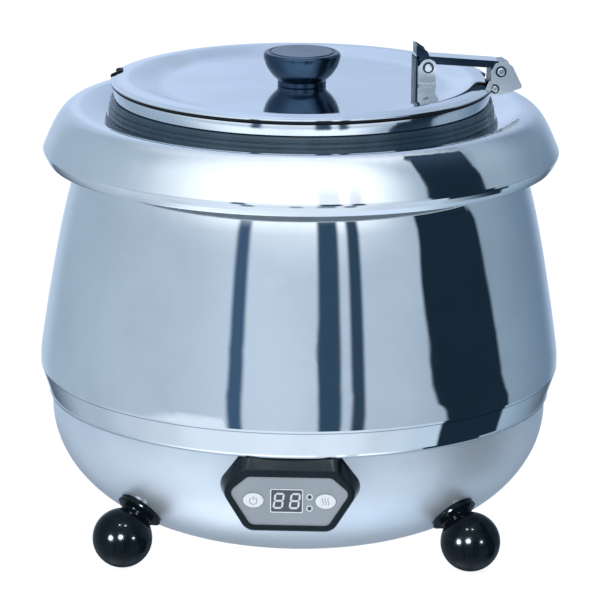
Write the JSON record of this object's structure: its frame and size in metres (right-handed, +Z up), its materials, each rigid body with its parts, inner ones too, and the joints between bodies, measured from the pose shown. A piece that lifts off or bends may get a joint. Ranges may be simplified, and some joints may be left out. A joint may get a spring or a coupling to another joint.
{
  "type": "electric soup kettle",
  "caption": "Free-standing electric soup kettle: mirror-polished tapered body with wide collar, lift-out pot, hinged lid with knob, push-button display panel and ball feet.",
  "frame": {"origin": "centre of the round body at the table surface, where the ball feet rest", "axes": "+Z up along the body's axis of revolution; -Y towards the control panel at the front; +X to the right, on the lid hinge's side"},
  "size_m": [0.4006, 0.4006, 0.3756],
  "materials": {
    "polished_steel": "mirror polished stainless steel",
    "satin_steel": "satin stainless steel",
    "cast_aluminium": "cast",
    "heater_steel": "heat-darkened steel",
    "plated_steel": "zinc plated",
    "black_ring": "semi-gloss black, heat resistant",
    "black_rubber": "matt",
    "black_gloss": "glossy moulded black",
    "black_matte": "matt black",
    "fascia_grey": "smooth grey overlay",
    "dark_window": "dark tinted window",
    "lamp_clear": "milky light pipe",
    "button_white": "smooth white",
    "board_green": "lacquered board",
    "relay_blue": "moulded",
    "terminal_cream": "moulded",
    "lead_sleeve": "woven heat-proof sleeve"
  },
  "bodies": {
    "kettle": {"base_pan": "satin_steel", "body_shell": "polished_steel", "collar": "polished_steel", "rim_ring": "black_ring", "water_well": "satin_steel", "heater_plate": "cast_aluminium", "heater_element": "heater_steel", "heater_nuts": "plated_steel", "tie_studs": "plated_steel", "tie_nuts": "plated_steel", "thermal_cutout": "plated_steel", "temperature_probe": "heater_steel", "control_bezel": "black_gloss", "control_fascia": "fascia_grey", "display_window": "dark_window", "display_module": "black_matte", "indicator_lights": "lamp_clear", "control_board": "board_green", "board_screws": "plated_steel", "power_relay": "relay_blue", "button_switches": "black_matte", "cord_gland": "black_matte", "gland_nut": "black_matte", "terminal_block": "terminal_cream", "supply_leads": "lead_sleeve", "heater_leads": "lead_sleeve", "front_left_foot": "black_gloss", "front_right_foot": "black_gloss", "rear_left_foot": "black_gloss", "rear_right_foot": "black_gloss", "foot_screws": "plated_steel", "foot_washers": "plated_steel"},
    "pot": {"inner_pot": "polished_steel", "pot_floor": "polished_steel", "rim_clip": "polished_steel", "hinge_bracket": "polished_steel", "clip_pin": "polished_steel", "arm_pivot_pin": "polished_steel"},
    "hinge_arm": {"hinge_arm": "polished_steel", "lid_pivot_pin": "polished_steel"},
    "lid": {"lid_panel": "polished_steel", "notch_trim": "black_rubber", "lid_seal": "black_rubber", "lid_knob": "black_gloss", "knob_screw": "plated_steel", "lid_bracket": "polished_steel"},
    "power_button": {"power_button": "button_white"},
    "set_button": {"set_button": "button_white"}
  },
  "joints": [
    {"name": "pot_lift", "type": "slide", "parent": "kettle", "child": "pot", "axis": [0, 0, 1], "range_m": [0, 0.2]},
    {"name": "arm_hinge", "type": "hinge", "parent": "pot", "child": "hinge_arm", "pos_m": [0.15062, 0.02386, 0.3548], "axis": [-0.1564, 0.9877, 0], "range_deg": [0, 105]},
    {"name": "lid_pivot", "type": "hinge", "parent": "hinge_arm", "child": "lid", "pos_m": [0.09482, 0.01502, 0.3588], "axis": [-0.1564, 0.9877, 0], "range_deg": [0, 4.2]},
    {"name": "power_button_press", "type": "slide", "parent": "kettle", "child": "power_button", "axis": [0, 1, 0], "range_m": [0, 0.0007], "stiffness_N_per_m": 600},
    {"name": "set_button_press", "type": "slide", "parent": "kettle", "child": "set_button", "axis": [0, 1, 0], "range_m": [0, 0.0007], "stiffness_N_per_m": 600}
  ],
  "couplings": [
    {"joint": "lid_pivot", "follows": "arm_hinge", "ratio": 0.04}
  ]
}
